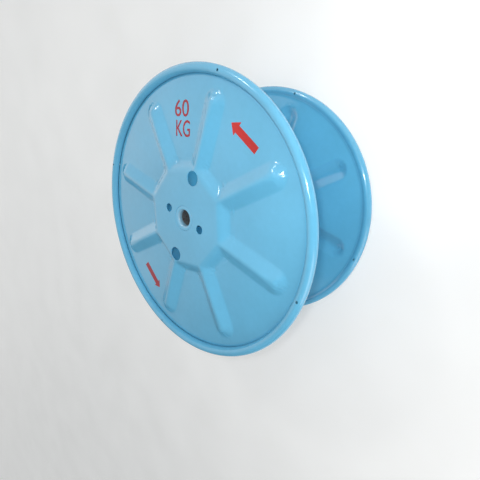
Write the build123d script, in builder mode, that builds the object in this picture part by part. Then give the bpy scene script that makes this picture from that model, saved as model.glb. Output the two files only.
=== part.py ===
from build123d import *
from math import atan2, cos, degrees, hypot, radians, sqrt, tan
import os

# Steel cable drum: two pressed sheet flanges with ribs and rolled rims, welded to a sheet barrel
# and to a thick-walled centre tube. Millimetres. The drum stands on its end: its axis is Z, its
# centre is the origin, and the front flange is the upper one. Y is the direction that points up
# when the drum stands on its two rims.

# Overall sizes
flange_radius = 500.0
face_spacing = 421.5  # between the outer faces of the two flange sheets
sheet_thickness = 2.5

# Hub, the raised middle of each flange: it has a corner under each rib and a straight side between
hub_height = 22.8
hub_side_distance = 196.0  # from the axis to where a side would meet the face without its foot curve
hub_side_slope = 40.0  # degrees
hub_edge_radius = 35.0

# Ribs
rib_count = 8
first_rib_angle = 15.7  # clockwise from +Y, seen from the front
rib_half_width = 42.7  # where the slopes would meet the face without their foot curve
rib_slope = 28.6  # degrees
rib_ridge_radius = 16.0
rib_end_gap = 21.0  # level face between a rib's end and the start of the rim
rib_root_radius = 26.0  # in the hollows where the ribs leave the hub
foot_radius = 10.0  # where ribs and hub run out into the face

# Rolled rim
rim_tube_radius = 15.3
rim_centre_height = 3.7  # how far the rolled tube's centre lies outside the face
rim_dip_radius = 26.0  # the soft bend by which the face dips under the roll
rim_seam_angle = 17.0  # where the roll's free edge stops, in degrees below the tube's centre

# Holes in each flange
drive_hole_radius = 25.0
drive_hole_circle_radius = 149.6
small_hole_radius = 15.0
small_hole_circle_radius = 83.2
drain_hole_radius = 4.0  # through the middle of the rolled rim

# Barrel and centre tube
barrel_radius = 250.0
barrel_wall_thickness = 2.5
tube_radius = 43.5
bore_radius = 28.0
tube_fit_gap = 0.15  # clearance of the tube in the hub's hole
tube_edge_radius = 2.0
bore_mouth_chamfer = 5.0

# Worked out from the sizes above
face_height = face_spacing / 2
half_thickness = sheet_thickness / 2
rib_pitch = 360 / rib_count
rib_polar_angle = 90 - first_rib_angle
small_hole_angle = rib_polar_angle + 2 * rib_pitch
blank_depth = sheet_thickness + foot_radius  # how deep the solid forms reach below the face
barrel_length = face_spacing - 2 * sheet_thickness
tube_length = face_spacing + 2 * hub_height  # its ends are level with the hubs

# The rim's section, as (distance from the axis, height over the face): the face dips down round
# dip_centre and runs tangentially into the roll round roll_centre
roll_radius = rim_tube_radius - half_thickness
roll_centre = (flange_radius - rim_tube_radius, rim_centre_height)
dip_drop = rim_dip_radius + half_thickness + rim_centre_height
dip_run = sqrt((rim_dip_radius + roll_radius) ** 2 - dip_drop**2)
dip_centre = (roll_centre[0] - dip_run, roll_centre[1] - dip_drop)
dip_end_angle = degrees(atan2(dip_drop, dip_run))
roll_start_angle = 180 + dip_end_angle
roll_turn = 360 + rim_seam_angle - dip_end_angle
pressing_radius = dip_centre[0]  # the level, ribbed middle ends where the rim starts to dip

# The centre of each rib's round end, from the drum's axis
rib_foot_run = foot_radius * tan(radians(rib_slope / 2))
rib_end_centre = pressing_radius - rib_end_gap - rib_foot_run - rib_half_width

# The front flange's outer face, and a section through its axis with heights over that face
front_face = Plane.XY.offset(face_height)
front_section = Plane(origin=(0, 0, face_height), x_dir=(1, 0, 0), z_dir=(0, -1, 0))


def rib_form(inset):
    """One rib along +X: a ridge with a round end like half a cone, its surface moved in by inset."""
    slope = radians(rib_slope)
    ridge_radius = rib_ridge_radius - inset
    ridge_centre = rib_half_width * tan(slope) - rib_ridge_radius / cos(slope)
    half_width = rib_half_width - inset * tan(slope / 2)

    def half_section():
        ridge = CenterArc((0, ridge_centre), ridge_radius, 90 - rib_slope, rib_slope)
        Polyline(ridge @ 1, (0, -inset), (half_width, -inset), ridge @ 0)

    with BuildPart() as rib:
        with BuildSketch(Plane.YZ):
            with BuildLine():
                half_section()
            make_face()
            mirror(about=Plane.YZ)
        extrude(amount=rib_end_centre)
        with BuildSketch(Plane.YZ.offset(rib_end_centre)):
            with BuildLine():
                half_section()
            make_face()
        revolve(axis=Axis((rib_end_centre, 0, 0), (0, 0, -1)), revolution_arc=180)
    return rib.part


def pressed_form(inset, reach):
    """Everything under the pressed surface moved in by inset, as a solid disc of radius reach."""
    side_distance = hub_side_distance - inset * tan(radians(hub_side_slope / 2))
    near_hub = 2 * rib_count

    with BuildPart() as form:
        with BuildSketch(Plane.XY.offset(-inset)):
            RegularPolygon(side_distance, rib_count, major_radius=False, rotation=rib_polar_angle)
        extrude(amount=hub_height, taper=90 - hub_side_slope)
        fillet(form.faces().sort_by(Axis.Z)[-1].edges(), hub_edge_radius - inset)
        with BuildSketch(Plane.XY.offset(-inset)):
            Circle(reach)
        extrude(amount=inset - blank_depth)
        with PolarLocations(0, rib_count, start_angle=rib_polar_angle):
            add(rib_form(inset))

        # The hollows where ribs and hub meet: the edges nearest the axis that rise from the face
        rising = form.edges().filter_by(
            lambda edge: abs(edge.bounding_box().min.Z + inset) < 0.01 < edge.bounding_box().size.Z
        )
        hollows = rising.sort_by(lambda edge: hypot(edge.center().X, edge.center().Y))[:near_hub]
        fillet(hollows, rib_root_radius + inset)
        # The level face between the ribs, whose longest edge is the disc's own
        face = form.faces().filter_by(Plane.XY).sort_by(Axis.Z)[1]
        feet = face.edges().sort_by(SortBy.LENGTH)[:-1]
        fillet(feet, foot_radius + inset)
    return form.part


# Front flange: the pressed middle
with BuildPart(front_face) as front_flange:
    add(pressed_form(0, pressing_radius))
    add(pressed_form(sheet_thickness, flange_radius), mode=Mode.SUBTRACT)

    # Its rim: the sheet dips inward and rolls round into a tube that closes on the face
    with BuildSketch(front_section):
        with BuildLine():
            dip_top = CenterArc(dip_centre, rim_dip_radius + half_thickness, 90, dip_end_angle - 90)
            dip_base = CenterArc(dip_centre, rim_dip_radius - half_thickness, 90, dip_end_angle - 90)
            roll_inside = CenterArc(
                roll_centre, roll_radius - half_thickness, roll_start_angle, roll_turn
            )
            roll_outside = CenterArc(
                roll_centre, roll_radius + half_thickness, roll_start_angle, roll_turn
            )
            Line(roll_inside @ 1, roll_outside @ 1)
            Line(dip_top @ 0, dip_base @ 0)
        make_face()
    revolve(axis=Axis.Z)

    # Its holes: the centre tube's, two for drive pins, two small ones, and drains through the roll
    with BuildSketch(front_face):
        Circle(tube_radius + tube_fit_gap)
        with PolarLocations(drive_hole_circle_radius, 2, start_angle=rib_polar_angle):
            Circle(drive_hole_radius)
        with PolarLocations(small_hole_circle_radius, 2, start_angle=small_hole_angle):
            Circle(small_hole_radius)
        with PolarLocations(roll_centre[0], rib_count // 2, start_angle=rib_polar_angle):
            Circle(drain_hole_radius)
    extrude(amount=hub_height + blank_depth, both=True, mode=Mode.SUBTRACT)

# Rear flange: the same pressing, facing the other way
with BuildPart() as rear_flange:
    mirror(front_flange.part, about=Plane.XY)

# Barrel: a rolled sheet between the flanges
with BuildPart() as barrel:
    with BuildSketch():
        Circle(barrel_radius)
        Circle(barrel_radius - barrel_wall_thickness, mode=Mode.SUBTRACT)
    extrude(amount=barrel_length / 2, both=True)

# Centre tube: passes through both hubs, with its bore's mouths opened out
with BuildPart() as centre_tube:
    with BuildSketch():
        Circle(tube_radius)
        Circle(bore_radius, mode=Mode.SUBTRACT)
    extrude(amount=tube_length / 2, both=True)
    end_edges = centre_tube.faces().filter_by(Plane.XY).edges()
    fillet(end_edges.filter_by(lambda edge: edge.radius == tube_radius), tube_edge_radius)
    chamfer(end_edges.filter_by(lambda edge: edge.radius == bore_radius), bore_mouth_chamfer)

os.makedirs("parts", exist_ok=True)
pieces = {
    "front_flange": front_flange,
    "rear_flange": rear_flange,
    "barrel": barrel,
    "centre_tube": centre_tube,
}
for name, piece in pieces.items():
    piece.part.label = name
    export_step(piece.part, f"parts/{name}.step")
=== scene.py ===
from math import atan2, ceil, cos, exp, hypot, pi, radians, sin, sqrt, tan

import bmesh
import bpy
from mathutils import Matrix, Vector, noise


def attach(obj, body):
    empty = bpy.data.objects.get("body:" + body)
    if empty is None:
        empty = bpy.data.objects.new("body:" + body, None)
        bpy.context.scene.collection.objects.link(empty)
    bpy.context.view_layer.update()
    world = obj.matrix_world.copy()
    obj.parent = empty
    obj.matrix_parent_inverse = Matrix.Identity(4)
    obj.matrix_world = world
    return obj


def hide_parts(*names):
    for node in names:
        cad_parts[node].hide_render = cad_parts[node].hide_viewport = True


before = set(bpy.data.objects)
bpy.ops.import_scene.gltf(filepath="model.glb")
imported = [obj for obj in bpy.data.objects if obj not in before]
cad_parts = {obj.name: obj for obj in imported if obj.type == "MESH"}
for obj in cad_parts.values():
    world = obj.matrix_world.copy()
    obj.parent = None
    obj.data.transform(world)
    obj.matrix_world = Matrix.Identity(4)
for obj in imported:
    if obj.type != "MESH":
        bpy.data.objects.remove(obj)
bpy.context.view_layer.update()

# A steel cable drum standing on its end. Its axis is Z, and +Y is the side that is up when the
# drum stands on its rims. Sizes are given in millimetres and used in metres.
MM = 0.001

# Flange
FACE_HEIGHT = 210.75 * MM  # the outer face of each flange's sheet, from the drum's middle
SHEET = 2.5 * MM
LEVEL = -SHEET / 2  # the middle of the sheet, below its outer face
FLANGE_RADIUS = 499.8 * MM  # a hair inside the drum's full 500 mm

# Hub, the raised middle of each flange
HUB_TOP = 22.8 * MM
HUB_SIDE = 196 * MM  # from the axis to where a straight side of the hub would meet the face
HUB_SLOPE = radians(40)
HUB_EDGE = 35 * MM
HUB_FLAT = HUB_SIDE - HUB_TOP / tan(HUB_SLOPE) - HUB_EDGE * tan(HUB_SLOPE / 2)
WAVES_START = 185 * MM  # from the axis: the hub within it is too stiff to stand off in waves

# Ribs
RIB_COUNT = 8
FIRST_RIB = radians(90 - 15.7)
RIB_HALF_WIDTH = 42.7 * MM
RIB_SLOPE = radians(28.6)
RIB_RIDGE = 16 * MM
TIP_ROUNDING = 14 * MM  # by which the ridge is rounder at the rib's end
TIP_LENGTH = 60 * MM  # the last part of the rib, where it grows rounder
RIB_END_GAP = 21 * MM
FOOT = 10 * MM  # the round that ends the rib's slope at the face

# Hollows, as the difference in height over which two forms flow together
ROOT_HOLLOW = 7.2 * MM  # between hub and ribs
ROOT_START = 160 * MM  # where these hollows begin, and the way over which they grow
ROOT_GROWTH = 25 * MM
RIB_FOOT_HOLLOW = 1.5 * MM  # between the ribs and the level face
HUB_FOOT_HOLLOW = 3.1 * MM  # between the hub and the level face
FOOT_CHANGE = 16 * MM  # difference of hub and rib in height, over which one foot turns to the other

# Rolled rim, in section
ROLL_RADIUS = 15.3 * MM - SHEET / 2
ROLL_HEIGHT = 3.7 * MM
DIP_RADIUS = 26 * MM
SEAM_ANGLE = radians(17)

# Holes: their radii, and those of the circles on which they lie
TUBE_HOLE_RADIUS = 43.65 * MM
DRIVE_HOLE = 25 * MM
DRIVE_CIRCLE = 149.6 * MM
SMALL_HOLE = 15 * MM
SMALL_CIRCLE = 83.2 * MM
DRAIN_HOLE = 4 * MM
HOLE_EDGE = 0.7 * MM  # the rounding of the larger holes' edges

# Barrel and centre tube
BARREL_RADIUS = 250 * MM
TUBE_RADIUS = 43.5 * MM
BORE_RADIUS = 28 * MM
TUBE_HALF_LENGTH = FACE_HEIGHT + HUB_TOP
HEADROOM = 0.01 * MM  # kept free between the highest surfaces and the drum's full height
TUBE_EDGE = 2 * MM
MOUTH_CHAMFER = 5 * MM
MOUTH_BEND = 6 * MM  # the round by which the chamfer runs into the bore
MOUTH_LIP = 1.1 * MM  # the rounded lip between the tube's end face and its mouth
BARREL_END = FACE_HEIGHT - SHEET
BARREL_WALL = 2.5 * MM

# Knocks in the front flange's rolled rim, as angle in degrees, half length and depth
RIM_DENTS = [(50, 13 * MM, 1.3 * MM), (41.5, 17 * MM, 1.6 * MM)]

# The rim in section, as distance from the axis and height over the face
ROLL_CENTRE = FLANGE_RADIUS - ROLL_RADIUS - SHEET / 2
DIP_DROP = DIP_RADIUS + SHEET / 2 + ROLL_HEIGHT
DIP_RUN = sqrt((DIP_RADIUS + ROLL_RADIUS) ** 2 - DIP_DROP**2)
PRESSING_RADIUS = ROLL_CENTRE - DIP_RUN
DIP_END = atan2(DIP_DROP, DIP_RUN)
RIB_END = PRESSING_RADIUS - RIB_END_GAP - FOOT * tan(RIB_SLOPE / 2) - RIB_HALF_WIDTH
CREASE_CIRCLE = 471.5 * MM  # the crease between the face and the rolled rim

# The sheet's mesh: where each band of rings starts, and how far apart its rings are
RING_BANDS = [
    (TUBE_HOLE_RADIUS, 4.5 * MM),
    (65 * MM, 3 * MM),
    (101 * MM, 4.5 * MM),
    (145 * MM, 3 * MM),
    (230 * MM, 10 * MM),
    (350 * MM, 3.2 * MM),
    (446 * MM, 3.4 * MM),
]
COLUMNS = 20  # in each half sector between two ribs
NEAR_RIB = 48 * MM  # beside a rib's axis, the columns stand close together
NEAR_RIB_ANGLE = 0.306  # but not over more than this angle
NEAR_RIB_SHARE = 0.8  # of the columns stand there
EVENING_OUT = 14 * MM  # the way past the rib's end, over which they spread out evenly

# Weld beads
WELD_LEG = 5.5 * MM
WELD_ROOT = 0.3 * MM  # how deep the end weld sits in the barrel's sheet
WELD_GAP = 0.03 * MM  # by which it stays off the flange
SEAM_HALF_WIDTH = 3.6 * MM
SEAM_HEIGHT = 1.5 * MM
SEAM_ROOT = 0.35 * MM  # how deep the seam's bead sits in the sheet

# Colours of the finishes
SKY_BLUE = (0.118, 0.435, 0.655)
TUBE_BLUE = (0.14, 0.46, 0.68)
BRIGHT_RED = (0.52, 0.014, 0.012)
THIN_RED = (0.325, 0.014, 0.028)
FADED_RED = (0.4, 0.09, 0.14, 1)
DARK_RUST = (0.05, 0.034, 0.026, 1)
BRIGHT_RUST = (0.16, 0.09, 0.055, 1)
# Colour of the painted shade laid in the rim's crease
CREASE_SHADE_COLOUR = (0.06, 0.09, 0.1, 1)
BARE_STEEL = (0.15, 0.17, 0.18, 1)
# Colour of the painted highlight laid round the centre tube's mouths
MOUTH_HIGHLIGHT_COLOUR = (0.36, 0.42, 0.45, 1)


# Making meshes


def add_piece(name, form, materials):
    """Turns a finished bmesh into a piece that rides on the drum."""
    mesh = bpy.data.meshes.new(name)
    form.to_mesh(mesh)
    form.free()
    for material in materials:
        mesh.materials.append(material)
    piece = bpy.data.objects.new(name, mesh)
    bpy.context.scene.collection.objects.link(piece)
    return piece


def smooth(piece, sharp_angle=40):
    """Shades a piece smooth, apart from its real edges."""
    piece.data.shade_smooth()
    piece.data.set_sharp_from_angle(angle=radians(sharp_angle))


def apply_modifiers(piece):
    """Makes the mesh that a piece's modifiers give its own."""
    view = bpy.context.evaluated_depsgraph_get()
    finished = bpy.data.meshes.new_from_object(piece.evaluated_get(view))
    old = piece.data
    piece.modifiers.clear()
    piece.data = finished
    finished.name = piece.name
    bpy.data.meshes.remove(old)


def arc(centre, radius, start, turn, steps):
    """Points round an arc in a section, as (distance from the axis, height), without its first."""
    return [
        (
            centre[0] + radius * cos(start + turn * step / steps),
            centre[1] + radius * sin(start + turn * step / steps),
        )
        for step in range(1, steps + 1)
    ]


def rows(start, end, spacing):
    """Distances from start up to end, without end, about that far apart."""
    count = max(1, ceil((end - start) / spacing - 0.01))
    return [start + (end - start) * step / count for step in range(count)]


def spin_section(points, steps, closed=False):
    """A bmesh of the shape that a section of (distance from the axis, height) turns through."""
    form = bmesh.new()
    ring = [form.verts.new((distance, 0, height)) for distance, height in points]
    for first, second in zip(ring, ring[1:]):
        form.edges.new((first, second))
    if closed:
        form.edges.new((ring[-1], ring[0]))
    bmesh.ops.spin(
        form,
        geom=form.verts[:] + form.edges[:],
        cent=(0, 0, 0),
        axis=(0, 0, 1),
        angle=2 * pi,
        steps=steps,
        use_merge=True,
    )
    bmesh.ops.remove_doubles(form, verts=form.verts, dist=0.01 * MM)
    bmesh.ops.recalc_face_normals(form, faces=form.faces)
    return form


# The flanges


def crowned(distance, flat, crown, top, slope):
    """Height over the face of a form that is level as far as flat, rounds off and slopes down."""
    crown -= SHEET / 2
    top -= SHEET / 2
    run = distance - flat
    if run <= 0:
        return top
    if run <= crown * sin(slope):
        return top - crown + sqrt(crown**2 - run**2)
    return top - crown * (1 - cos(slope)) - (run - crown * sin(slope)) * tan(slope)


def flowing(first, second, blend):
    """The higher of two heights, with the hollow between them filled out to a blend."""
    overlap = blend - abs(first - second)
    if overlap <= 0:
        return max(first, second)
    return max(first, second) + overlap**2 / (4 * blend)


def pressed_height(distance, angle):
    """Height over the face at a distance from the axis, and at an angle from the nearest rib."""
    from_middle = distance * cos(pi / RIB_COUNT - abs(angle))
    hub = crowned(from_middle, HUB_FLAT, HUB_EDGE, HUB_TOP, HUB_SLOPE)
    past_end = distance * cos(angle) - RIB_END
    from_rib = hypot(max(past_end, 0), distance * sin(angle))
    ridge = RIB_RIDGE + TIP_ROUNDING * min(max(1 + past_end / TIP_LENGTH, 0), 1)
    top = RIB_HALF_WIDTH * tan(RIB_SLOPE) - ridge / cos(RIB_SLOPE) + ridge
    rib = crowned(from_rib, 0, ridge, top, RIB_SLOPE)
    hollow = ROOT_HOLLOW * min(max((distance - ROOT_START) / ROOT_GROWTH, 0.001), 1)
    form = flowing(hub, rib, hollow)
    hub_share = min(max(0.5 + (hub - rib) / FOOT_CHANGE, 0), 1)
    foot = RIB_FOOT_HOLLOW + (HUB_FOOT_HOLLOW - RIB_FOOT_HOLLOW) * hub_share
    return flowing(form, LEVEL, foot)


def eased_height(distance, angle):
    """The pressed height, drawn smooth over the reach that the sheet bridges by its stiffness."""
    reach, middle_share, around_share = 5 * MM, 0.4, 0.1
    height = middle_share * pressed_height(distance, angle)
    for step in range(6):
        turn = step * pi / 3
        aside = angle + reach * sin(turn) / distance
        height += around_share * pressed_height(distance + reach * cos(turn), aside)
    return height


def puckers(x, y, distance, angle):
    """Small wrinkles where the sheet was drawn hardest: at the ribs' ends and at their roots."""
    along, aside = distance * cos(angle), abs(distance * sin(angle))
    from_tip = hypot(along - RIB_END - 25 * MM, aside)
    from_root = hypot(along - 205 * MM, aside - 43 * MM)
    tip, root = exp(-((from_tip / (22 * MM)) ** 2)), exp(-((from_root / (19 * MM)) ** 2))
    cells_per_metre, deepest = 125, 2.7 * MM
    wrinkles = noise.noise(Vector((x * cells_per_metre, y * cells_per_metre, 5)))
    return deepest * (tip + root) * wrinkles


def nearest_rib(angle):
    """The angle from the nearest rib's axis."""
    pitch = 2 * pi / RIB_COUNT
    return (angle - FIRST_RIB + pitch / 2) % pitch - pitch / 2


def waviness(x, y, side):
    """How far the thin sheet stands off its true shape, in broad waves and in finer ones."""
    broad = noise.noise(Vector((x * 5, y * 5, side * 7.3)))
    fine = noise.noise(Vector((x * 17, y * 17, side * 3.1 + 20)))
    return 0.25 * MM * broad + 0.08 * MM * fine


def face_height(x, y, side):
    """Height of the middle of the sheet, outward from the drum's middle, on the pressed face."""
    distance, fading_way = hypot(x, y), 20 * MM
    into_face = min(PRESSING_RADIUS - distance, distance - WAVES_START)
    fade = min(max(into_face / fading_way, 0), 1)
    angle = nearest_rib(atan2(y, x))
    unevenness = fade * waviness(x, y, side) + puckers(x, y, distance, angle)
    height = eased_height(distance, angle) + unevenness
    return FACE_HEIGHT + min(height, HUB_TOP - SHEET / 2 - HEADROOM)


def dented(distance, height, angle):
    """A point of the front flange's rolled rim, with the rim's knocks pressed into it."""
    depth = 0
    for place, half_length, deepest in RIM_DENTS:
        along = (angle - radians(place)) * FLANGE_RADIUS
        depth += deepest * exp(-((along / half_length) ** 2))
    across, up = distance - ROLL_CENTRE, height - ROLL_HEIGHT
    depth *= min(max(up / ROLL_RADIUS, 0), 1) ** 3
    shrink = 1 - depth / hypot(across, up)
    return ROLL_CENTRE + across * shrink, ROLL_HEIGHT + up * shrink


def column_angle(distance, fraction):
    """Angle from a rib's axis of one of a half sector's columns, close together near the rib."""
    half_sector = pi / RIB_COUNT
    near = min(NEAR_RIB / distance, NEAR_RIB_ANGLE)
    if fraction <= NEAR_RIB_SHARE:
        packed = near * fraction / NEAR_RIB_SHARE
    else:
        further = (fraction - NEAR_RIB_SHARE) / (1 - NEAR_RIB_SHARE)
        packed = near + (half_sector - near) * further
    even = half_sector * fraction
    level_out = min(max((distance - RIB_END - NEAR_RIB) / EVENING_OUT, 0), 1)
    return packed + (even - packed) * level_out


def flange_piece(name, side, material):
    """One flange: a sheet pressed to a hub with ribs, with its rim rolled into a tube."""
    section = []
    ends = [start for start, spacing in RING_BANDS[1:]] + [PRESSING_RADIUS]
    for (start, spacing), end in zip(RING_BANDS, ends):
        section += [(distance, LEVEL) for distance in rows(start, end, spacing)]
    section.append((PRESSING_RADIUS, LEVEL))
    dip_centre = (PRESSING_RADIUS, LEVEL - DIP_RADIUS)
    section += arc(dip_centre, DIP_RADIUS, pi / 2, DIP_END - pi / 2, steps=6)
    roll_turn = 2 * pi + SEAM_ANGLE - DIP_END
    section += arc((ROLL_CENTRE, ROLL_HEIGHT), ROLL_RADIUS, pi + DIP_END, roll_turn, steps=30)
    form = spin_section(section, 2 * COLUMNS * RIB_COUNT)
    bmesh.ops.rotate(form, verts=form.verts, matrix=Matrix.Rotation(FIRST_RIB, 3, "Z"))

    for vert in form.verts:
        distance = hypot(vert.co.x, vert.co.y)
        angle = atan2(vert.co.y, vert.co.x)
        if distance > PRESSING_RADIUS + 0.1 * MM:
            height = vert.co.z
            if side > 0 and height > ROLL_HEIGHT:
                distance, height = dented(distance, height, angle)
            height = side * (FACE_HEIGHT + height)
            vert.co = (distance * cos(angle), distance * sin(angle), height)
            continue
        from_rib = nearest_rib(angle)
        fraction = abs(from_rib) * RIB_COUNT / pi
        moved = column_angle(distance, min(fraction, 1))
        angle += moved * (1 if from_rib >= 0 else -1) - from_rib
        x, y = distance * cos(angle), distance * sin(angle)
        vert.co = (x, y, side * face_height(x, y, side))
    bmesh.ops.recalc_face_normals(form, faces=form.faces)

    piece = add_piece(name, form, [material])
    wall = piece.modifiers.new("sheet", "SOLIDIFY")
    wall.thickness = SHEET
    wall.offset = 0
    piercing = hole_punches(side)
    punch = piece.modifiers.new("holes", "BOOLEAN")
    punch.operation = "DIFFERENCE"
    punch.solver = "EXACT"
    punch.object = piercing
    apply_modifiers(piece)
    bpy.data.objects.remove(piercing)
    round_hole_edges(piece)
    smooth(piece)
    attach(piece, "root")
    return piece


def round_hole_edges(flange):
    """Takes the sharpness off the edges of the tube's hole, the drive holes and the small holes."""
    middles = [(0, 0, TUBE_HOLE_RADIUS)]
    for radius, circle, start in (
        (DRIVE_HOLE, DRIVE_CIRCLE, FIRST_RIB),
        (SMALL_HOLE, SMALL_CIRCLE, FIRST_RIB + pi / 2),
    ):
        for side in (1, -1):
            middles.append((side * circle * cos(start), side * circle * sin(start), radius))
    form = bmesh.new()
    form.from_mesh(flange.data)
    close, sharp = 0.06 * MM, radians(50)
    edges = []
    for edge in form.edges:
        for x, y, radius in middles:
            on_wall = all(
                abs(hypot(vert.co.x - x, vert.co.y - y) - radius) < close for vert in edge.verts
            )
            if on_wall and len(edge.link_faces) == 2 and edge.calc_face_angle() > sharp:
                edges.append(edge)
    bmesh.ops.bevel(
        form,
        geom=edges,
        offset=HOLE_EDGE,
        segments=2,
        profile=0.5,
        affect="EDGES",
        material=-1,
        clamp_overlap=False,
    )
    form.to_mesh(flange.data)
    form.free()


def hole_punches(side):
    """The punches for the drive holes, the small holes and the drain holes of one flange."""
    form = bmesh.new()
    punches = [
        (DRIVE_HOLE, DRIVE_CIRCLE, 2, 0, 96),
        (SMALL_HOLE, SMALL_CIRCLE, 2, pi / 2, 72),
        (DRAIN_HOLE, ROLL_CENTRE, RIB_COUNT // 2, 0, 32),
    ]
    for radius, circle, count, start, segments in punches:
        for hole in range(count):
            angle = FIRST_RIB + start + 2 * pi * hole / count
            place = (circle * cos(angle), circle * sin(angle), side * FACE_HEIGHT)
            bmesh.ops.create_cone(
                form,
                cap_ends=True,
                segments=segments,
                radius1=radius,
                radius2=radius,
                depth=70 * MM,
                matrix=Matrix.Translation(place),
            )
    return add_piece("hole_punches", form, [])


# The barrel and the centre tube


def barrel_piece(name, material):
    """The rolled sheet between the flanges, a little uneven from rolling."""
    outside, inside = BARREL_RADIUS, BARREL_RADIUS - BARREL_WALL
    spacing, deepest = 30 * MM, 0.35 * MM
    heights = rows(-BARREL_END, BARREL_END, spacing) + [BARREL_END]
    section = [(outside, height) for height in heights]
    section += [(inside, height) for height in reversed(heights)]
    form = spin_section(section, steps=256, closed=True)
    for vert in form.verts:
        off_end = min((BARREL_END - abs(vert.co.z)) / spacing, 1)
        inward = deepest * off_end * (0.5 + 0.5 * noise.noise(vert.co * 9))
        vert.co.xy -= vert.co.xy.normalized() * inward
    return add_piece(name, form, [material])


def end_weld(name, side, material):
    """The rippled fillet weld all round, where the barrel meets the inside of a flange."""
    wall = BARREL_RADIUS - WELD_ROOT
    corner_height = side * (BARREL_END - WELD_GAP)
    section = [(wall, corner_height)]
    for step in range(6):
        turn = pi / 2 * step / 5
        reach = WELD_LEG * (0.86 + 0.14 * abs(cos(2 * turn)))
        section.append((wall + reach * cos(turn), corner_height - side * reach * sin(turn)))
    form = spin_section(section, steps=1040, closed=True)

    ripple, depth = 6.1 * MM, 0.13
    for vert in form.verts:
        along = atan2(vert.co.y, vert.co.x) * wall
        corner = (vert.co.xy.normalized() * wall).to_3d()
        corner.z = corner_height
        beat = 0.5 + 0.5 * cos(2 * pi * along / ripple + 1.5 * noise.noise(vert.co * 60))
        vert.co = corner + (vert.co - corner) * (1 - depth * beat)
    return add_piece(name, form, [material])


def seam_weld(name, angle, material):
    """The flat weld along the barrel, where its sheet's two edges meet."""
    form = bmesh.new()
    bmesh.ops.create_grid(form, x_segments=8, y_segments=220, size=0.5)
    rim_edges = [edge for edge in form.edges if edge.is_boundary]
    under = bmesh.ops.extrude_edge_only(form, edges=rim_edges)["geom"]
    lower_edges = [part for part in under if isinstance(part, bmesh.types.BMEdge)]
    lower = {part for part in under if isinstance(part, bmesh.types.BMVert)}
    bmesh.ops.contextual_create(form, geom=lower_edges)
    half_length, ripple, underside = BARREL_END - 4 * MM, 5.6 * MM, -0.5 * MM
    for vert in form.verts:
        across, along = vert.co.x * 2, vert.co.y * 2 * half_length
        beat = 0.5 + 0.5 * cos(2 * pi * (along / ripple - 0.5 * across**2))
        height = SEAM_HEIGHT * sqrt(max(1 - across**2, 0)) * (1 - 0.22 * beat)
        drift = 0.5 * MM * noise.noise(Vector((0, 0, along * 12)))
        sideways = angle + (across * SEAM_HALF_WIDTH + drift) / BARREL_RADIUS
        distance = BARREL_RADIUS - SEAM_ROOT + (underside if vert in lower else height)
        vert.co = (distance * cos(sideways), distance * sin(sideways), along)
    bmesh.ops.triangulate(form, faces=[face for face in form.faces if len(face.verts) > 4])
    bmesh.ops.recalc_face_normals(form, faces=form.faces)
    return add_piece(name, form, [material])


def tube_piece(name, material):
    """The thick-walled tube through both hubs, with rounded ends and opened-out mouths."""
    end = TUBE_HALF_LENGTH - HEADROOM
    mouth = BORE_RADIUS + MOUTH_CHAMFER
    half = [(TUBE_RADIUS, height) for height in rows(0, end - TUBE_EDGE, 40 * MM)]
    half.append((TUBE_RADIUS, end - TUBE_EDGE))
    half += arc((TUBE_RADIUS - TUBE_EDGE, end - TUBE_EDGE), TUBE_EDGE, 0, pi / 2, steps=4)
    half += [(mouth + MOUTH_LIP, end), (mouth + 0.4 * MM, end - 0.1 * MM)]
    half.append((mouth - 0.3 * MM, end - 0.5 * MM))
    bend = end - MOUTH_CHAMFER - MOUTH_BEND * tan(pi / 8)
    half.append((BORE_RADIUS + MOUTH_BEND * (1 - cos(pi / 4)), bend + MOUTH_BEND * sin(pi / 4)))
    half += arc((BORE_RADIUS + MOUTH_BEND, bend), MOUTH_BEND, pi * 3 / 4, pi / 4, steps=6)
    half += [(BORE_RADIUS, end - depth * MM) for depth in (10, 16, 24, 40, 70, 110, 160)]
    half.append((BORE_RADIUS, 0))
    section = half + [(distance, -height) for distance, height in reversed(half[1:-1])]
    form = spin_section(section, steps=144, closed=True)
    return add_piece(name, form, [material])


# Red stencilled markings on the front flange


def lay_on_face(name, form, material):
    """Makes a flat marking a thin film of paint that follows the front flange's face."""
    cut_spacing = 7 * MM
    for axis in (0, 1):
        across = Vector((1 - axis, axis, 0))
        places = [vert.co[axis] for vert in form.verts]
        for cut in rows(min(places), max(places), cut_spacing)[1:]:
            everything = form.verts[:] + form.edges[:] + form.faces[:]
            bmesh.ops.bisect_plane(
                form, geom=everything, dist=0.001 * MM, plane_co=across * cut, plane_no=across
            )
    for vert in form.verts:
        vert.co.z = face_height(vert.co.x, vert.co.y, 1) + SHEET / 2
    bmesh.ops.recalc_face_normals(form, faces=form.faces)
    piece = add_piece(name, form, [material])
    film = piece.modifiers.new("film", "SOLIDIFY")
    film.thickness = 0.3 * MM
    film.offset = 0
    apply_modifiers(piece)
    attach(piece, "root")
    return piece


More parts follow.
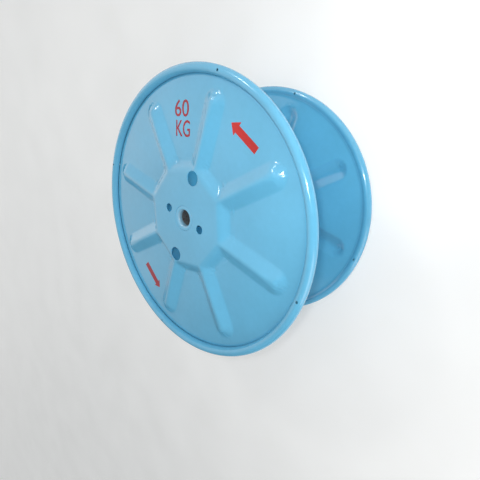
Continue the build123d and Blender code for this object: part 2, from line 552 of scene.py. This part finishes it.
def lettering(name, words, centre, width, height, material):
    """A line of upright letters, drawn out to a width and a height."""
    line = bpy.data.curves.new(name + "_line", "FONT")
    line.body = words
    line.offset = 0.008  # a little bolder
    line.resolution_u = 5
    holder = bpy.data.objects.new(name + "_line", line)
    bpy.context.scene.collection.objects.link(holder)
    view = bpy.context.evaluated_depsgraph_get()
    flat = bpy.data.meshes.new_from_object(holder.evaluated_get(view))
    form = bmesh.new()
    form.from_mesh(flat)
    bpy.data.objects.remove(holder)
    bpy.data.meshes.remove(flat)
    bmesh.ops.remove_doubles(form, verts=form.verts, dist=0.0001)
    left, right = min(v.co.x for v in form.verts), max(v.co.x for v in form.verts)
    base, top = min(v.co.y for v in form.verts), max(v.co.y for v in form.verts)
    bmesh.ops.translate(form, verts=form.verts, vec=(-(left + right) / 2, -(base + top) / 2, 0))
    stretch = (width / (right - left), height / (top - base), 1)
    bmesh.ops.scale(form, verts=form.verts, vec=stretch)
    bmesh.ops.translate(form, verts=form.verts, vec=(*centre, 0))
    return lay_on_face(name, form, material)


def arrow(name, tail, tip, shaft_width, head_width, head_length, material):
    """A flat arrow from the middle of its tail to its tip."""
    tail, tip = Vector((*tail, 0)), Vector((*tip, 0))
    ahead = (tip - tail).normalized()
    aside = Vector((-ahead.y, ahead.x, 0))
    neck = tip - ahead * head_length
    corners = [tail - aside * shaft_width / 2, neck - aside * shaft_width / 2]
    corners += [neck - aside * head_width / 2, tip, neck + aside * head_width / 2]
    corners += [neck + aside * shaft_width / 2, tail + aside * shaft_width / 2]
    form = bmesh.new()
    verts = [form.verts.new(corner) for corner in corners]
    for face in ((0, 1, 5, 6), (1, 2, 3), (1, 3, 5), (3, 4, 5)):
        form.faces.new([verts[corner] for corner in face])
    return lay_on_face(name, form, material)


# Materials


def add_node(tree, kind, inputs=None, **settings):
    """A new node, with its settings, and with its inputs set or linked."""
    made = tree.nodes.new("ShaderNode" + kind)
    for setting, value in settings.items():
        setattr(made, setting, value)
    for socket, value in (inputs or {}).items():
        if isinstance(value, bpy.types.NodeSocket):
            tree.links.new(value, made.inputs[socket])
        else:
            made.inputs[socket].default_value = value
    return made


def figure(tree, operation, first, second=0.0, third=0.0):
    """The result of a Math node."""
    inputs = {0: first, 1: second, 2: third}
    return add_node(tree, "Math", inputs, operation=operation).outputs[0]


def spread(tree, value, start, end, low=0.0, high=1.0):
    """A value drawn out from one range to another and held within it."""
    inputs = {"Value": value, "From Min": start, "From Max": end, "To Min": low, "To Max": high}
    return add_node(tree, "MapRange", inputs).outputs["Result"]


def blend_colours(tree, share, first, second):
    """One colour laid over another in the share that a value gives."""
    return add_node(tree, "Mix", {0: share, 6: first, 7: second}, data_type="RGBA").outputs[2]


def cloudiness(tree, position, scale, detail=2.0):
    """A noise pattern of so many cells to the metre."""
    inputs = {"Vector": position, "Scale": scale, "Detail": detail}
    return add_node(tree, "TexNoise", inputs).outputs["Fac"]


def new_group(name, inputs, outputs):
    """A node group with named sockets, with the sockets of its input node and its output node."""
    group = bpy.data.node_groups.new(name, "ShaderNodeTree")
    for label, kind, value in inputs:
        socket = group.interface.new_socket(
            name=label, in_out="INPUT", socket_type="NodeSocket" + kind
        )
        if value is not None:
            socket.default_value = value
    for label, kind in outputs:
        group.interface.new_socket(name=label, in_out="OUTPUT", socket_type="NodeSocket" + kind)
    given = group.nodes.new("NodeGroupInput").outputs
    result = group.nodes.new("NodeGroupOutput").inputs
    return group, given, result


def sprayed_enamel_group():
    """Gloss enamel as it is sprayed: cloudy in tone, dimpled like orange peel and a little run."""
    group, given, result = new_group(
        "sprayed_enamel",
        [
            ("Position", "Vector", None),
            ("Colour", "Color", (0.5, 0.5, 0.5, 1)),
            ("Cloudiness", "Float", 0.05),
            ("Dimple Depth", "Float", 0.004),
            ("Roughness", "Float", 0.15),
        ],
        [("Colour", "Color"), ("Roughness", "Float"), ("Height", "Float")],
    )
    place = given["Position"]
    clouds = spread(group, cloudiness(group, place, 5, 4), 0.3, 0.7, -1, 1)
    mottle = spread(group, cloudiness(group, place, 60, 3), 0.3, 0.7, -0.35, 0.35)
    tone = figure(group, "ADD", clouds, mottle)
    tone = figure(group, "MULTIPLY_ADD", tone, given["Cloudiness"], 1.0)
    toned = add_node(group, "HueSaturation", {"Color": given["Colour"], "Value": tone})
    group.links.new(toned.outputs["Color"], result["Colour"])

    uneven = spread(group, cloudiness(group, place, 14, 3), 0.3, 0.7, 0.75, 1.3)
    roughness = figure(group, "MULTIPLY", uneven, given["Roughness"])
    group.links.new(roughness, result["Roughness"])

    dimples = cloudiness(group, place, 210, 1)
    runs = cloudiness(group, place, 38, 1)
    heights = figure(group, "MULTIPLY_ADD", runs, 9.0, dimples)
    depth = figure(group, "MULTIPLY", given["Dimple Depth"], MM)
    group.links.new(figure(group, "MULTIPLY", heights, depth), result["Height"])
    return group


def rust_group():
    """Rust where a value lets it through: its cover, its colour and its crust."""
    group, given, result = new_group(
        "rust",
        [("Position", "Vector", None), ("Amount", "Float", 0.0), ("Grain", "Float", 300.0)],
        [("Cover", "Float"), ("Colour", "Color"), ("Height", "Float")],
    )
    place = given["Position"]
    patches = cloudiness(group, place, given["Grain"], 5.0)
    opening = figure(group, "SUBTRACT", 0.85, figure(group, "MULTIPLY", given["Amount"], 0.7))
    cover = spread(group, figure(group, "SUBTRACT", patches, opening), -0.06, 0.06)
    group.links.new(cover, result["Cover"])
    shades = spread(group, cloudiness(group, place, 420, 4), 0.35, 0.65)
    colour = blend_colours(group, shades, DARK_RUST, BRIGHT_RUST)
    group.links.new(colour, result["Colour"])
    group.links.new(figure(group, "MULTIPLY", shades, 0.12 * MM), result["Height"])
    return group


def crease_shade_group():
    """Painted shade laid in a crease: how far it covers it, broken up and faint."""
    group, given, result = new_group(
        "crease_shade",
        [("Position", "Vector", None), ("Crease", "Float", 0.0), ("Strength", "Float", 0.5)],
        [("Cover", "Float")],
    )
    broken = spread(group, cloudiness(group, given["Position"], 45, 4), 0.3, 0.7, 0.35, 1)
    cover = figure(group, "MULTIPLY", given["Crease"], broken)
    group.links.new(figure(group, "MULTIPLY", cover, given["Strength"]), result["Cover"])
    return group


def use_group(tree, group, inputs):
    """The outputs of a node group placed in a material, with that material's own values."""
    return add_node(tree, "Group", inputs, node_tree=group).outputs


def new_material(name, colour, **settings):
    """A material with a Principled shader, whose even values are set on its own sockets."""
    material = bpy.data.materials.new(name)
    material.use_nodes = True
    shader = material.node_tree.nodes["Principled BSDF"]
    shader.inputs["Base Color"].default_value = (*colour, 1)
    for socket, value in settings.items():
        shader.inputs[socket.replace("_", " ")].default_value = value
    return material, material.node_tree, shader


def set_relief(tree, shader, height):
    """Shows a pattern of heights as the relief of a shader's surface."""
    bump = add_node(tree, "Bump", {"Height": height, "Distance": 1.0})
    tree.links.new(bump.outputs["Normal"], shader.inputs["Normal"])


def from_axis(tree, place):
    """The distance from the drum's axis."""
    level = add_node(tree, "VectorMath", {0: place, 1: (1, 1, 0)}, operation="MULTIPLY")
    return add_node(tree, "VectorMath", {0: level.outputs[0]}, operation="LENGTH").outputs["Value"]


sprayed_enamel = sprayed_enamel_group()
rust = rust_group()
crease_shade = crease_shade_group()


def blue_enamel():
    """Sky-blue gloss enamel, with painted shade in the rim's crease and rust round the drain holes.
    """
    material, tree, shader = new_material(
        "blue_enamel", SKY_BLUE, Coat_Weight=0.6, Coat_Roughness=0.06, IOR=1.5
    )
    place = add_node(tree, "TexCoord").outputs["Object"]
    enamel = use_group(
        tree, sprayed_enamel, {"Position": place, "Colour": (*SKY_BLUE, 1), "Roughness": 0.2}
    )

    distance = from_axis(tree, place)
    spot = add_node(tree, "SeparateXYZ", {0: place}).outputs
    angle = figure(tree, "SUBTRACT", figure(tree, "ARCTAN2", spot["Y"], spot["X"]), FIRST_RIB)
    aside = figure(tree, "MULTIPLY", figure(tree, "PINGPONG", angle, pi / 4), distance)
    across = figure(tree, "SUBTRACT", distance, ROLL_CENTRE)
    squares = (figure(tree, "POWER", aside, 2.0), figure(tree, "POWER", across, 2.0))
    from_drain = figure(tree, "SQRT", figure(tree, "ADD", *squares))
    by_drain = spread(tree, from_drain, DRAIN_HOLE, 6 * MM, 0.4, 0)
    rusty = use_group(tree, rust, {"Position": place, "Amount": by_drain, "Grain": 260.0})

    # Painted shade: a thin dark ring along the crease between the face and the rolled rim, on the
    # outer side only
    off_crease = figure(tree, "ABSOLUTE", figure(tree, "SUBTRACT", distance, CREASE_CIRCLE))
    near_crease = spread(tree, off_crease, 1 * MM, 4 * MM, 1, 0)
    outward = figure(tree, "ABSOLUTE", spot["Z"])
    outer_side = spread(tree, outward, 205.6 * MM, 206.4 * MM)
    crease = figure(tree, "MULTIPLY", near_crease, outer_side)
    crease_shading = use_group(tree, crease_shade, {"Position": place, "Crease": crease, "Strength": 0.04})

    # The painted crease shade darkens the paint's colour along the crease
    paint = blend_colours(tree, crease_shading["Cover"], enamel["Colour"], CREASE_SHADE_COLOUR)
    paint = blend_colours(tree, rusty["Cover"], paint, rusty["Colour"])
    tree.links.new(paint, shader.inputs["Base Color"])
    dulled = figure(tree, "MAXIMUM", crease, rusty["Cover"])
    rough = figure(tree, "MULTIPLY_ADD", dulled, 0.5, enamel["Roughness"])
    tree.links.new(rough, shader.inputs["Roughness"])
    gloss = spread(tree, dulled, 0, 1, 0.6, 0)
    tree.links.new(gloss, shader.inputs["Coat Weight"])
    set_relief(tree, shader, enamel["Height"])
    return material


def red_stencil_paint(name, colour):
    """Red enamel dabbed through a stencil, thin enough for its strokes to show."""
    material, tree, shader = new_material(name, colour, Coat_Weight=0.2, IOR=1.5)
    place = add_node(tree, "TexCoord").outputs["Object"]
    enamel = use_group(
        tree,
        sprayed_enamel,
        {"Position": place, "Colour": (*colour, 1), "Cloudiness": 0.16, "Roughness": 0.42},
    )
    dabs = spread(tree, cloudiness(tree, place, 130, 4), 0.62, 0.8, 0, 0.35)
    paint = blend_colours(tree, dabs, enamel["Colour"], FADED_RED)
    tree.links.new(paint, shader.inputs["Base Color"])
    tree.links.new(enamel["Roughness"], shader.inputs["Roughness"])
    set_relief(tree, shader, enamel["Height"])
    return material


def tube_finish():
    """The centre tube: blue enamel outside and in its mouths, with a painted highlight round them;
    bare, rusty steel in its bore.
    """
    material, tree, shader = new_material(
        "enamelled_tube_steel", TUBE_BLUE, IOR=1.5, Coat_Roughness=0.1
    )
    place = add_node(tree, "TexCoord").outputs["Object"]
    enamel = use_group(
        tree, sprayed_enamel, {"Position": place, "Colour": (*TUBE_BLUE, 1), "Roughness": 0.2}
    )
    distance = from_axis(tree, place)
    height = add_node(tree, "SeparateXYZ", {0: place}).outputs["Z"]
    down = figure(tree, "SUBTRACT", TUBE_HALF_LENGTH, figure(tree, "ABSOLUTE", height))
    ragged = figure(tree, "MULTIPLY_ADD", cloudiness(tree, place, 90, 4), 9 * MM, down)
    below_paint = spread(tree, ragged, 19 * MM, 22 * MM)
    in_bore = spread(tree, distance, 28.6 * MM, 29.2 * MM, 1, 0)
    bare = figure(tree, "MULTIPLY", below_paint, in_bore)

    rusty = use_group(tree, rust, {"Position": place, "Amount": 0.33, "Grain": 110.0})
    steel = blend_colours(tree, rusty["Cover"], BARE_STEEL, rusty["Colour"])
    # Painted highlight: the mouth's chamfer and lip are laid paler all round, for the light they
    # catch
    mouth_highlight = figure(tree, "MULTIPLY", spread(tree, distance, 31 * MM, 34 * MM, 1, 0), 0.4)
    paint = blend_colours(tree, mouth_highlight, enamel["Colour"], MOUTH_HIGHLIGHT_COLOUR)
    tree.links.new(blend_colours(tree, bare, paint, steel), shader.inputs["Base Color"])
    rough = figure(tree, "MULTIPLY_ADD", bare, 0.4, enamel["Roughness"])
    tree.links.new(rough, shader.inputs["Roughness"])
    tree.links.new(spread(tree, bare, 0, 1, 0, 0.35), shader.inputs["Metallic"])
    tree.links.new(spread(tree, bare, 0, 1, 0.6, 0), shader.inputs["Coat Weight"])
    crust = figure(tree, "MULTIPLY", rusty["Height"], bare)
    set_relief(tree, shader, figure(tree, "ADD", enamel["Height"], crust))
    return material


# The drum's pieces

blue_paint = blue_enamel()
bright_red = red_stencil_paint("bright_red_stencil_paint", BRIGHT_RED)
thin_red = red_stencil_paint("thin_red_stencil_paint", THIN_RED)
tube_paint = tube_finish()

front_flange = flange_piece("front_flange_pressing", 1, blue_paint)
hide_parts("front_flange")
rear_flange = flange_piece("rear_flange_pressing", -1, blue_paint)
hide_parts("rear_flange")

barrel = barrel_piece("barrel_sheet", blue_paint)
tube = tube_piece("spindle_tube", tube_paint)
for piece, node, slot in ((barrel, "barrel", "blue_paint"), (tube, "centre_tube", "tube_steel")):
    smooth(piece)
    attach(piece, "root")
    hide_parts(node)

welds = [
    end_weld("front_barrel_weld", 1, blue_paint),
    end_weld("rear_barrel_weld", -1, blue_paint),
    seam_weld("barrel_seam_weld", radians(205), blue_paint),
]
for weld in welds:
    smooth(weld, sharp_angle=60)
    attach(weld, "root")

for name, words, centre in (
    ("weight_figures", "60", (-44.6 * MM, 364.5 * MM)),
    ("weight_unit", "KG", (-37.7 * MM, 299.9 * MM)),
):
    lettering(name, words, centre, width=71 * MM, height=54 * MM, material=thin_red)
arrow(
    "upper_arrow",
    tail=(278.5 * MM, 253.6 * MM),
    tip=(178.3 * MM, 326.5 * MM),
    shaft_width=24.3 * MM,
    head_width=48 * MM,
    head_length=30 * MM,
    material=bright_red,
)
arrow(
    "lower_arrow",
    tail=(-258.8 * MM, -259.2 * MM),
    tip=(-171.1 * MM, -338.7 * MM),
    shaft_width=24.5 * MM,
    head_width=48 * MM,
    head_length=24 * MM,
    material=thin_red,
)


# Floor, light and camera

FLOOR_COLOUR = (0.78, 0.77, 0.75)
FLOOR_SHADES = ((0.76, 0.755, 0.74, 1), (0.8, 0.795, 0.78, 1))
FLOOR_GLOW = 0.3
ROOM_COLOUR = (0.93, 0.97, 1, 1)
BACKGROUND_COLOUR = (0.96, 0.955, 0.94, 1)

floor_mesh = bmesh.new()
bmesh.ops.create_grid(floor_mesh, x_segments=1, y_segments=1, size=12)
bmesh.ops.translate(floor_mesh, verts=floor_mesh.verts, vec=(0, 0, -TUBE_HALF_LENGTH))
floor_paint, floor_tree, floor_shader = new_material("pale_floor", FLOOR_COLOUR)
floor_place = add_node(floor_tree, "TexCoord").outputs["Object"]
floor_tone = spread(floor_tree, cloudiness(floor_tree, floor_place, 3, 4), 0.3, 0.7)
floor_colour = blend_colours(floor_tree, floor_tone, *FLOOR_SHADES)
floor_tree.links.new(floor_colour, floor_shader.inputs["Base Color"])
floor_tree.links.new(floor_colour, floor_shader.inputs["Emission Color"])
floor_ray = add_node(floor_tree, "LightPath").outputs
floor_seen = figure(floor_tree, "MAXIMUM", floor_ray["Is Camera Ray"], floor_ray["Is Glossy Ray"])
floor_glow = figure(floor_tree, "MULTIPLY", floor_seen, FLOOR_GLOW)
floor_tree.links.new(floor_glow, floor_shader.inputs["Emission Strength"])
floor = add_piece("floor", floor_mesh, [floor_paint])

camera_data = bpy.data.cameras.new("camera")
camera_data.sensor_width = 36
camera_data.lens = 22.70
camera_data.shift_x = -0.0336
camera_data.shift_y = -0.0508
camera = bpy.data.objects.new("camera", camera_data)
bpy.context.scene.collection.objects.link(camera)
camera_right = Vector((0.7892, 0.0756, -0.60947))
camera_up = Vector((-0.21335, 0.96434, -0.15664))
camera_back = Vector((0.57589, 0.25365, 0.77718))
camera_place = Vector((0.79984, 0.29379, 0.89329))
turn = Matrix((camera_right, camera_up, camera_back)).transposed().to_4x4()
camera.matrix_world = Matrix.Translation(camera_place) @ turn
bpy.context.scene.camera = camera


def area_light(name, place, target, size, power):
    """A square soft light at a place, turned to a target."""
    lamp = bpy.data.lights.new(name, "AREA")
    lamp.shape = "SQUARE"
    lamp.size = size
    lamp.energy = power
    light = bpy.data.objects.new(name, lamp)
    bpy.context.scene.collection.objects.link(light)
    light.location = place
    light.rotation_euler = (Vector(target) - Vector(place)).to_track_quat("-Z", "Y").to_euler()
    return light


area_light("key", place=(-0.9, 2.0, 2.1), target=(0, 0, 0.1), size=0.32, power=11)
area_light("side_fill", place=(1.9, -1.1, 0.7), target=(0, 0, 0), size=1.2, power=11)
area_light("flash", place=(0.77, 0.335, 0.925), target=(0, 0, 0.1), size=0.05, power=4.6)

# Light that falls in between the flanges, on the rear one's inner side
between = area_light(
    "between_flanges", place=(0.75, 0.75, 0.16), target=(0.3, 0.2, -0.2), size=0.5, power=1.45
)
between.visible_glossy = False
between.visible_camera = False

# Light that finds its way into the real drum, so that its holes aren't black
glow = bpy.data.lights.new("light_inside", "POINT")
glow.energy = 0.62
glow.color = (0.85, 1, 0.93)
glow.shadow_soft_size = 0.05
light_inside = bpy.data.objects.new("light_inside", glow)
bpy.context.scene.collection.objects.link(light_inside)
light_inside.location = (-0.08, 0.15, -0.05)
light_inside.visible_glossy = False

# The studio. Its light is brighter towards +Y and +X. Where it is seen, it is plain white, and
# the paint mirrors it bright above and to the left, darker below, with a pale panel on the left.
world = bpy.data.worlds.new("studio")
bpy.context.scene.world = world
world.use_nodes = True
room = world.node_tree
room_light = room.nodes["Background"]
room_light.inputs["Color"].default_value = ROOM_COLOUR
whole_room = add_node(room, "TexCoord").outputs["Generated"]
towards = add_node(room, "SeparateXYZ", {0: whole_room}).outputs
from_above = spread(room, towards["Y"], -0.9, 0.9, 0.18, 0.42)
from_right = spread(room, towards["X"], -0.8, 0.8, 0, 0.47)
brightness = figure(room, "ADD", from_above, from_right)
room.links.new(brightness, room_light.inputs["Strength"])

upper_left = figure(room, "MULTIPLY_ADD", towards["X"], -0.9, towards["Y"])
bright_part = spread(room, upper_left, -0.1, 0.3, 0.36, 1.0)
upper_front = figure(room, "MULTIPLY_ADD", towards["Z"], 0.8, towards["Y"])
lit_part = spread(room, upper_front, -0.55, -0.15, 0.35, 1)
strength = figure(room, "MULTIPLY", bright_part, lit_part)
panel = spread(room, towards["X"], -0.8, -0.6, 0.4, 0)
panel_edge = spread(room, towards["Y"], -0.25, -0.05)
strength = figure(room, "MULTIPLY_ADD", panel, panel_edge, strength)

ray = add_node(room, "LightPath").outputs
not_direct = figure(room, "SUBTRACT", 1.0, ray["Is Camera Ray"])
strength = figure(room, "MULTIPLY_ADD", strength, not_direct, ray["Is Camera Ray"])
pale = add_node(room, "Background", {"Color": BACKGROUND_COLOUR, "Strength": strength})
mirrored = figure(room, "MAXIMUM", ray["Is Glossy Ray"], ray["Is Transmission Ray"])
shown = figure(room, "MAXIMUM", ray["Is Camera Ray"], mirrored)
both = add_node(room, "MixShader", {0: shown, 1: room_light.outputs[0], 2: pale.outputs[0]})
room.links.new(both.outputs[0], room.nodes["World Output"].inputs["Surface"])

bpy.context.scene.view_settings.view_transform = "Standard"
